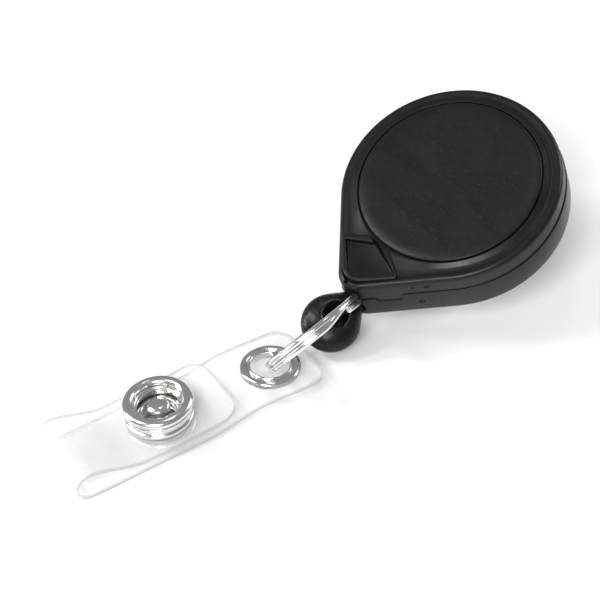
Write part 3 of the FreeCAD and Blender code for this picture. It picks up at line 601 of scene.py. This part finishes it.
def front_shell():
    sizes = bpy.context.scene.reel_sizes
    radius, seam = sizes.case_radius - 0.15, sizes.seam + 0.03
    groove = sizes.label_radius + 0.24
    bm = bmesh.new()
    outline(bm, [(0.0, 7.75, 0.0), (groove, 7.75, 0.12), (groove, 8.3, 0.14), (groove + 1.1, 7.72, 0.4),
                 (radius - 0.62, 7.95, 0.22), (radius - 0.04, 7.6, 0.42), (radius, seam, 0.12),
                 (radius - 1.0, seam, 0.05), (radius - 1.0, 7.0, 0.3), (0.0, 7.0, 0.0)], 5)
    slope = [edge for edge in bm.edges
             if groove < min(v.co.x for v in edge.verts) and max(v.co.x for v in edge.verts) < groove + 1.1
             and abs(edge.verts[0].co.x - edge.verts[1].co.x) > 0.35]
    bmesh.ops.subdivide_edges(bm, edges=slope, cuts=18)
    spin_round(bm, 360)
    pull_tip(bm, groove, groove + 1.1, lambda spot, reach: spot.z < 7.2 and reach < radius - 0.95)
    for vert in bm.verts:
        on_wall = math.hypot(vert.co.x, vert.co.y) > radius - 1.6
        if vert.co.z < seam + 0.3 and on_wall:
            vert.co.z -= seam_drop(math.atan2(vert.co.x, -vert.co.y))
        inside = (abs(vert.co.x) + abs(vert.co.y + POCKET_MID) < 5.0
                  and vert.co.y < min(-14.3, -14.15 - 0.41 * vert.co.x))
        if inside and vert.co.z > 7.2:
            vert.co.z = 7.15
    piece = make_object("case_front_cover", bm, REEL, "case")
    carve(piece, [dimple(7.75, 15.73, 6.6, 0.34), dimple(9.15, 14.33, 6.5, 0.36)])
    fit_piece(piece, "case", "case_plastic", "front_cover")


class BADGEREEL_OT_case(Operator):
    """Build the two case shells and the corner pocket"""
    bl_idname = "badge_reel.case"
    bl_label = "Case"

    def execute(self, context):
        rear_shell()
        front_shell()
        pocket_tray()
        dress("exit_guide", "case", 0.05)
        return {"FINISHED"}


class BADGEREEL_OT_label(Operator):
    """Build the crowned label disc"""
    bl_idname = "badge_reel.label"
    bl_label = "Label disc"

    def execute(self, context):
        radius = context.scene.reel_sizes.label_radius
        bm = lathe([(0.0, 7.8, 0.0), (radius, 7.8, 0.05), (radius, 8.4, 0.12), (radius - 1.1, 8.6, 0.5),
                    (9.0, 8.66, 0.0), (5.0, 8.7, 0.0), (0.0, 8.72, 0.0)], 192)
        piece = make_object("label_face", bm, REEL, "label")
        fit_piece(piece, "case", "label_plastic", "label_disc")
        return {"FINISHED"}


class BADGEREEL_OT_spool(Operator):
    """Finish the spindle, the spool, its spring and the wound cord"""
    bl_idname = "badge_reel.spool"
    bl_label = "Spool and spring"

    def execute(self, context):
        dress("spindle", "natural")
        dress("spool", "natural")
        dress("spring_cover", "natural")
        dress("power_spring", "spring", 0.02)
        self.wind_cord()
        return {"FINISHED"}

    def wind_cord(self):
        """Five layers of the cord, three turns and two in alternation, in each other's hollows."""
        bm = bmesh.new()
        first_layer, layer_pitch, middle, turn_pitch = 8.42, 0.72, 2.98, 0.76
        for layer in range(5):
            count = 3 if layer % 2 == 0 else 2
            for row in range(count):
                high = middle + (row - (count - 1) / 2.0) * turn_pitch
                ring = bmesh.ops.create_circle(bm, cap_ends=False, segments=10, radius=0.39)
                stand = shift(first_layer + layer * layer_pitch, 0, high) @ turn(90.0, "X")
                bmesh.ops.transform(bm, matrix=stand, verts=ring["verts"])
        spin_round(bm, 96)
        piece = make_object("wound_cord", bm, REEL, "cord", 60.0)
        fit_piece(piece, "spool", "cord_fabric", "cord_winding")


# ---------------------------------------------------------------- cord, fitting and ring

class BADGEREEL_OT_cord(Operator):
    """Build the cord from the winding to its stop, stretching between case and fitting"""
    bl_idname = "badge_reel.cord"
    bl_label = "Cord"

    def execute(self, context):
        path = [(8.68, -9.27, CORD_HEIGHT), (4.6, -13.0, CORD_HEIGHT), (0.6, -16.7, CORD_HEIGHT),
                (0.0, -17.9, CORD_HEIGHT), (0.0, -19.5, CORD_HEIGHT), (0.0, -21.0, CORD_HEIGHT),
                (0.0, -21.9, CORD_HEIGHT)]
        piece = wire_tube("pull_cord", path, 0.4, REEL, "cord")
        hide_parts("cord_lead")
        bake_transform(piece)
        return {"FINISHED"}


class BADGEREEL_OT_fitting(Operator):
    """Build the flattened egg on the cord's end, with its neck and eye"""
    bl_idname = "badge_reel.fitting"
    bl_label = "Cord end fitting"

    def execute(self, context):
        ball, middle, half_thick, neck, neck_end = 4.42, 0.3, 2.25, 1.72, -4.7
        to_ball = math.hypot(neck, middle - neck_end)
        lean = math.asin(ball / to_ball) - math.atan2(neck, middle - neck_end)
        corners = [(0.0, -6.0, 0.15), (neck, -6.0, 0.2), (neck, neck_end, 0.9)]
        for step in range(13):
            angle = (math.pi / 2.0 + lean) * (1.0 - step / 12.0)
            corners.append((ball * math.sin(angle), middle + ball * math.cos(angle), 0.0))
        bm = lathe(corners, 96, 8)
        bmesh.ops.transform(bm, matrix=turn(90.0, "X"), verts=bm.verts[:])
        for vert in bm.verts:
            share = min(1.0, max(0.0, (5.2 - vert.co.y) / 5.6))
            share = share * share * (3.0 - 2.0 * share)
            squeeze = 1.0 + (half_thick / ball - 1.0) * share
            vert.co.z *= squeeze
        piece = make_object("cord_end_egg", bm, FITTING, "fitting")
        eye = lathe([(0.0, 0.0, 0.0), (1.5, 0.0, 0.3), (1.78, 1.2, 0.4),
                     (2.25, 2.9, 0.0), (0.0, 2.9, 0.0)], 64)
        inner, outer, side = 7.9 - 1.15, 7.9 + 1.15, 1.1
        channel = lathe([(inner, -side, 0.9), (outer, -side, 0.9), (outer, side, 0.9),
                         (inner, side, 0.9)], 128)
        eye_place = FITTING @ shift(-0.1, EYE_MID - EYE_FRONT, 0)
        carve(piece, [make_object("eye_cutter", eye, eye_place, "fitting"),
                      make_object("channel_cutter", channel, RING, "fitting")])
        soft = piece.modifiers.new("fuse", "REMESH")
        soft.mode = "VOXEL"
        soft.voxel_size = 0.13 * MM
        calm = piece.modifiers.new("calm", "SMOOTH")
        calm.factor = 0.5
        calm.iterations = 6
        settle(piece, 180.0)
        fit_piece(piece, "cord_end", "case_plastic", "cord_end")
        dress("cord_stop", "brass", 0.06)
        return {"FINISHED"}


class BADGEREEL_OT_ring(Operator):
    """Build the split ring: two close turns of one wire with a crossing"""
    bl_idname = "badge_reel.ring"
    bl_label = "Split ring"
    wire: FloatProperty(name="Wire radius", description="Radius of the ring's wire, in mm", default=0.45)

    def execute(self, context):
        radius = context.scene.reel_sizes.ring_radius
        points = []
        steps = 144
        start, jog = math.radians(150.0), math.radians(40.0)
        for step in range(steps + 1):
            angle = (math.tau * 2.0 - 0.06) * step / steps
            share = min(1.0, max(0.0, (angle - (math.tau - jog)) / jog))
            side = -0.44 + 0.88 * share * share * (3.0 - 2.0 * share)
            points.append((radius * math.cos(start + angle), radius * math.sin(start + angle), side))
        piece = wire_tube("split_ring_wire", points, self.wire, RING, "ring_wire")
        fit_piece(piece, "ring", "bright_nickel", "split_ring")
        return {"FINISHED"}


# ---------------------------------------------------------------- strap

LOWER_LINE = [(6.0, 3.475), (2.0, 3.475), (-2.0, 3.475), (-5.6, 3.3), (-9.0, 2.5), (-12.6, 1.74),
              (-17.8, 1.3), (-23.3, 0.84), (-28.0, 0.42), (-30.6, 0.26), (FOLD_CENTRE, 0.225),
              (-33.66, 0.79), (-34.22, 2.15), (-33.66, 3.51), (FOLD_CENTRE, 4.075)]
UPPER_LINE = [(FOLD_CENTRE, 4.075), (-31.2, 4.05), (-29.6, 3.72), (-27.2, 3.02), (-24.4, 2.44), (-21.0, 2.62),
              (-17.8, 2.9), (-14.6, 3.18), (-12.0, 3.5), (-10.0, 3.95), (-8.2, 4.4)]


def smooth_line(points, spacing):
    """Evenly spaced (along, up) samples of the smooth line through the points."""
    fine = []
    count = len(points)
    for index in range(count - 1):
        before = Vector(points[max(0, index - 1)])
        here, after = Vector(points[index]), Vector(points[index + 1])
        beyond = Vector(points[min(count - 1, index + 2)])
        for step in range(12):
            t = step / 12.0
            fine.append(0.5 * (2.0 * here + (after - before) * t
                               + (2.0 * before - 5.0 * here + 4.0 * after - beyond) * t * t
                               + (3.0 * here - before - 3.0 * after + beyond) * t ** 3))
    fine.append(Vector(points[-1]))
    lengths = [0.0]
    for first, second in zip(fine, fine[1:]):
        lengths.append(lengths[-1] + (second - first).length)
    steps = max(2, round(lengths[-1] / spacing))
    samples, spot = [], 0
    for step in range(steps + 1):
        target = lengths[-1] * step / steps
        while spot < len(fine) - 2 and lengths[spot + 1] < target:
            spot += 1
        share = (target - lengths[spot]) / max(1e-9, lengths[spot + 1] - lengths[spot])
        samples.append(fine[spot].lerp(fine[spot + 1], min(1.0, share)))
    return samples


def vinyl_layer(name, line, holes, round_start, round_end):
    """A sheet of vinyl bent along a line, with rounded free ends, punched holes and a mask for the painted
    edge shade.
    """
    sizes = bpy.context.scene.reel_sizes
    half, corner, edge_shade_width = sizes.strap_width / 2.0, 3.0, 0.42
    samples = smooth_line(line, 0.4)
    rows = len(samples)
    across = 32
    bm = bmesh.new()
    spacing = sizes.strap_width / across
    first = [bm.verts.new((-half + spacing * step, 0.0, 0.0)) for step in range(across + 1)]
    edges = [bm.edges.new(pair) for pair in zip(first, first[1:])]
    for row in range(1, rows):
        grown = bmesh.ops.extrude_edge_only(bm, edges=edges)
        edges = [item for item in grown["geom"] if isinstance(item, bmesh.types.BMEdge)
                 and len(item.link_faces) == 1 and all(vert in grown["geom"] for vert in item.verts)]
        fresh = [item for item in grown["geom"] if isinstance(item, bmesh.types.BMVert)]
        bmesh.ops.translate(bm, verts=fresh, vec=(0.0, 1.0, 0.0))
    length = sum((b - a).length for a, b in zip(samples, samples[1:]))
    # Mask of the painted edge shade: 1 at the cut edges, fading to 0 inward over the band's width.
    edge_shade_mask = bm.verts.layers.float.new("edge")
    for vert in bm.verts:
        row = min(rows - 1, max(0, round(vert.co.y)))
        walked = length * row / (rows - 1)
        margin = length
        if round_start:
            margin = min(margin, walked)
        if round_end:
            margin = min(margin, length - walked)
        width = half
        if margin < corner:
            width = half - corner + math.sqrt(corner ** 2 - (corner - margin) ** 2)
        near = min(half - abs(vert.co.x), margin)
        vert[edge_shade_mask] = max(0.0, 1.0 - near / edge_shade_width)
        vert.co = (vert.co.x * width / half, samples[row].x, samples[row].y)
    for along, radius in holes:
        inside = [vert for vert in bm.verts if math.hypot(vert.co.x, vert.co.y - along) < radius]
        bmesh.ops.delete(bm, geom=inside, context="VERTS")
        for edge in [edge for edge in bm.edges if edge.is_boundary]:
            for vert in edge.verts:
                reach = math.hypot(vert.co.x, vert.co.y - along)
                if reach < radius + 0.75:
                    vert.co.x *= radius / reach
                    vert.co.y = along + (vert.co.y - along) * radius / reach
    bmesh.ops.recalc_face_normals(bm, faces=bm.faces[:])
    piece = make_object(name, bm, STRAP, "vinyl", 50.0)
    wall = piece.modifiers.new("wall", "SOLIDIFY")
    wall.thickness = sizes.strap_thick * MM
    wall.offset = 0.0
    settle(piece, 50.0)
    return piece


class BADGEREEL_OT_strap(Operator):
    """Build the clear vinyl strap: the lower layer with its fold, and the upper layer"""
    bl_idname = "badge_reel.strap"
    bl_label = "Vinyl strap"

    def execute(self, context):
        lower = vinyl_layer("strap_lower_layer", LOWER_LINE, [(0.0, 3.05), (SNAP_ALONG, 1.25)], True, False)
        fit_piece(lower, "strap", "clear_vinyl", "strap")
        upper = vinyl_layer("strap_upper_layer", UPPER_LINE, [(SNAP_ALONG - 0.14, 3.05)], False, True)
        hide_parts("strap_flap")
        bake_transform(upper)
        return {"FINISHED"}


# ---------------------------------------------------------------- grommet and snap

class BADGEREEL_OT_grommet(Operator):
    """Build the grommet's rolled rim and its washer"""
    bl_idname = "badge_reel.grommet"
    bl_label = "Grommet"

    def execute(self, context):
        rim = lathe([(2.8, -0.42, 0.05), (3.0, -0.42, 0.03), (3.0, 0.43, 0.0), (4.3, 0.43, 0.06),
                     (4.42, 0.58, 0.08), (4.1, 0.88, 0.25), (3.52, 0.84, 0.1), (3.38, 0.66, 0.06),
                     (3.22, 0.96, 0.12), (2.98, 1.0, 0.12), (2.8, 0.72, 0.1)])
        piece = make_object("grommet_rim", rim, GROMMET, "nickel")
        fit_piece(piece, "strap", "bright_nickel", "grommet_eyelet")
        low = lathe([(3.02, -0.3, 0.06), (4.25, -0.3, 0.12), (4.4, 0.0, 0.03), (3.02, 0.0, 0.03)])
        piece = make_object("grommet_back", low, GROMMET, "nickel")
        fit_piece(piece, "strap", "bright_nickel", "grommet_washer")
        return {"FINISHED"}


SNAP_PIECES = {
    "snap_post": ("snap_base", "strap", [
        (0.0, -0.5, 0.0), (3.8, -0.5, 0.2), (4.2, -0.28, 0.1), (4.2, 0.0, 0.04), (1.15, 0.0, 0.02),
        (1.15, 0.83, 0.0), (0.0, 0.83, 0.0)]),
    "snap_stud_dome": ("snap_stud", "strap", [
        (0.0, 0.86, 0.0), (1.17, 0.86, 0.0), (1.17, 0.46, 0.0), (4.95, 0.46, 0.08), (4.95, 0.72, 0.12),
        (4.5, 0.9, 0.12), (2.0, 0.88, 0.2), (1.6, 1.3, 0.3), (1.6, 3.1, 0.2), (1.76, 3.5, 0.15),
        (1.76, 4.05, 0.3), (1.2, 4.5, 0.45), (0.0, 4.62, 0.0)]),
    "snap_rivet_ring": ("snap_eyelet", "flap", [
        (2.45, 1.3, 0.06), (3.7, 1.3, 0.1), (3.7, 1.57, 0.08), (2.85, 1.58, 0.04), (2.85, 2.05, 0.0),
        (2.45, 2.05, 0.0)]),
    "snap_socket_cup": ("snap_socket", "flap", [
        (2.45, 2.08, 0.05), (4.75, 2.08, 0.12), (4.95, 2.35, 0.14), (4.92, 2.72, 0.12), (4.5, 2.92, 0.14),
        (4.62, 3.1, 0.1), (4.86, 3.3, 0.1), (4.86, 3.9, 0.04), (3.4, 3.9, 0.04), (3.4, 2.4, 0.1),
        (2.45, 2.4, 0.05)]),
    "snap_top_ring": ("snap_cap", "flap", [
        (2.95, 3.92, 0.05), (4.7, 3.92, 0.25), (5.12, 4.35, 0.35), (5.14, 5.0, 0.4), (4.5, 5.4, 0.45),
        (3.85, 5.38, 0.35), (3.46, 4.95, 0.3), (3.4, 4.3, 0.2), (2.95, 4.14, 0.06)]),
    "snap_grip_ring": ("socket_spring", "flap", [
        (2.5, 2.4, 0.24), (3.1, 2.4, 0.24), (3.1, 3.0, 0.24), (2.5, 3.0, 0.24)]),
}


class BADGEREEL_OT_snap(Operator):
    """Build the snap: post and stud below, rivet ring, ribbed socket, grip ring and rolled top ring above"""
    bl_idname = "badge_reel.snap"
    bl_label = "Snap"

    def execute(self, context):
        for name, (node, body, corners) in SNAP_PIECES.items():
            piece = make_object(name, lathe(corners, segments=5), SNAP, "snap_nickel")
            slot = "clip_steel" if node == "socket_spring" else "bright_nickel"
            fit_piece(piece, body, slot, node)
        return {"FINISHED"}


# ---------------------------------------------------------------- clip

class BADGEREEL_OT_clip(Operator):
    """Build the swivel clip: rivet, washer, two jaws, axle and coil spring"""
    bl_idname = "badge_reel.clip"
    bl_label = "Swivel clip"

    def execute(self, context):
        dress("clip_rivet", "nickel", 0.12)
        dress("clip_washer", "natural", 0.1)
        dress("clip_upper_jaw", "steel", 0.12)
        dress("clip_lower_jaw", "steel", 0.12)
        dress("clip_axle", "nickel", 0.15)
        points = [(2.6, 1.75, 3.6), (2.6, 1.75, 1.5)]
        turns, radius, length = 8.0, 1.75, 5.0
        steps = 128
        for step in range(steps + 1):
            angle = math.tau * turns * step / steps
            across = length * (0.5 - step / steps)
            points.append((across, radius * math.cos(angle), -radius * math.sin(angle)))
        points.append((-2.6, 1.75, -1.5))
        points.append((-2.6, 1.75, -3.4))
        piece = wire_tube("clip_coil", points, 0.27, AXLE, "spring")
        fit_piece(piece, "clip", "clip_steel", "clip_spring")
        return {"FINISHED"}


# ---------------------------------------------------------------- stage

LIGHTS = (
    ("key_softbox", (0.35, -0.5, 0.5), 0.34, 5.6),
    ("front_softbox", (-0.45, -0.45, 0.2), 0.22, 1.5),
    ("left_glint", (-0.35, -0.3, 0.4), 0.13, 0.7),
    ("right_glint", (-0.2, -0.34, 0.5), 0.13, 0.8),
    ("arc_glint", (-0.11, 0.07, 0.6), 0.06, 0.14),
    ("back_softbox", (0.1, 0.6, 0.35), 0.3, 1.5),
)
CAMERA_AWAY = Vector((0.1909, -0.1767, 0.20256))
CAMERA_RIGHT = Vector((0.6261, 0.7792, -0.0283))
CAMERA_UP = Vector((-0.4900, 0.4214, 0.7631))


class BADGEREEL_OT_stage(Operator):
    """Lay the pale floor, set the soft lights and place the camera"""
    bl_idname = "badge_reel.stage"
    bl_label = "Stage"

    def execute(self, context):
        bm = bmesh.new()
        bmesh.ops.create_grid(bm, x_segments=2, y_segments=2, size=1500.0)
        make_object("floor", bm, Matrix.Scale(MM, 4) @ shift(0, 0, -0.02), "floor")
        for row in LIGHTS:
            self.light(*row)
        world = bpy.data.worlds.new("studio")
        world.use_nodes = True
        world.node_tree.nodes["Background"].inputs["Color"].default_value = (1, 1, 1, 1)
        world.node_tree.nodes["Background"].inputs["Strength"].default_value = 0.3
        context.scene.world = world
        context.scene.view_settings.view_transform = "Standard"
        data = bpy.data.cameras.new("camera")
        data.lens = 132.0
        data.sensor_width = 36.0
        data.clip_start = 0.01
        camera = bpy.data.objects.new("camera", data)
        back = CAMERA_RIGHT.cross(CAMERA_UP).normalized()
        up = back.cross(CAMERA_RIGHT).normalized()
        turned = Matrix((CAMERA_RIGHT.normalized(), up, back)).transposed().to_4x4()
        camera.matrix_world = Matrix.Translation(REEL_CENTRE + CAMERA_AWAY) @ turned
        context.scene.collection.objects.link(camera)
        context.scene.camera = camera
        return {"FINISHED"}

    def light(self, name, place, size, power):
        """Round area light, facing the origin."""
        data = bpy.data.lights.new(name, "AREA")
        data.shape = "DISK"
        data.size = size
        data.energy = power
        lamp = bpy.data.objects.new(name, data)
        lamp.location = place
        lamp.rotation_euler = (-Vector(place)).to_track_quat("-Z", "Y").to_euler()
        bpy.context.scene.collection.objects.link(lamp)


class BADGEREEL_PT_panel(Panel):
    """Lists the reel's sizes, colours and build steps"""
    bl_idname = "BADGEREEL_PT_panel"
    bl_label = "Badge Reel"
    bl_space_type = "VIEW_3D"
    bl_region_type = "UI"
    bl_category = "Badge Reel"

    def draw(self, context):
        for group in (context.scene.reel_sizes, context.scene.reel_colours):
            for name in group.__annotations__:
                self.layout.prop(group, name)
        for operator in OPERATORS:
            self.layout.operator(operator.bl_idname)


OPERATORS = (
    BADGEREEL_OT_stage, BADGEREEL_OT_case, BADGEREEL_OT_label, BADGEREEL_OT_spool, BADGEREEL_OT_cord,
    BADGEREEL_OT_fitting, BADGEREEL_OT_ring, BADGEREEL_OT_strap, BADGEREEL_OT_grommet, BADGEREEL_OT_snap,
    BADGEREEL_OT_clip,
)
CLASSES = (ReelSizes, ReelColours) + OPERATORS + (BADGEREEL_PT_panel,)


def register():
    for item in CLASSES:
        bpy.utils.register_class(item)
    bpy.types.Scene.reel_sizes = PointerProperty(type=ReelSizes)
    bpy.types.Scene.reel_colours = PointerProperty(type=ReelColours)


def unregister():
    del bpy.types.Scene.reel_colours
    del bpy.types.Scene.reel_sizes
    for item in reversed(CLASSES):
        bpy.utils.unregister_class(item)


def main():
    register()
    for operator in OPERATORS:
        group, step = operator.bl_idname.split(".")
        getattr(getattr(bpy.ops, group), step)()


if __name__ == "__main__":
    main()
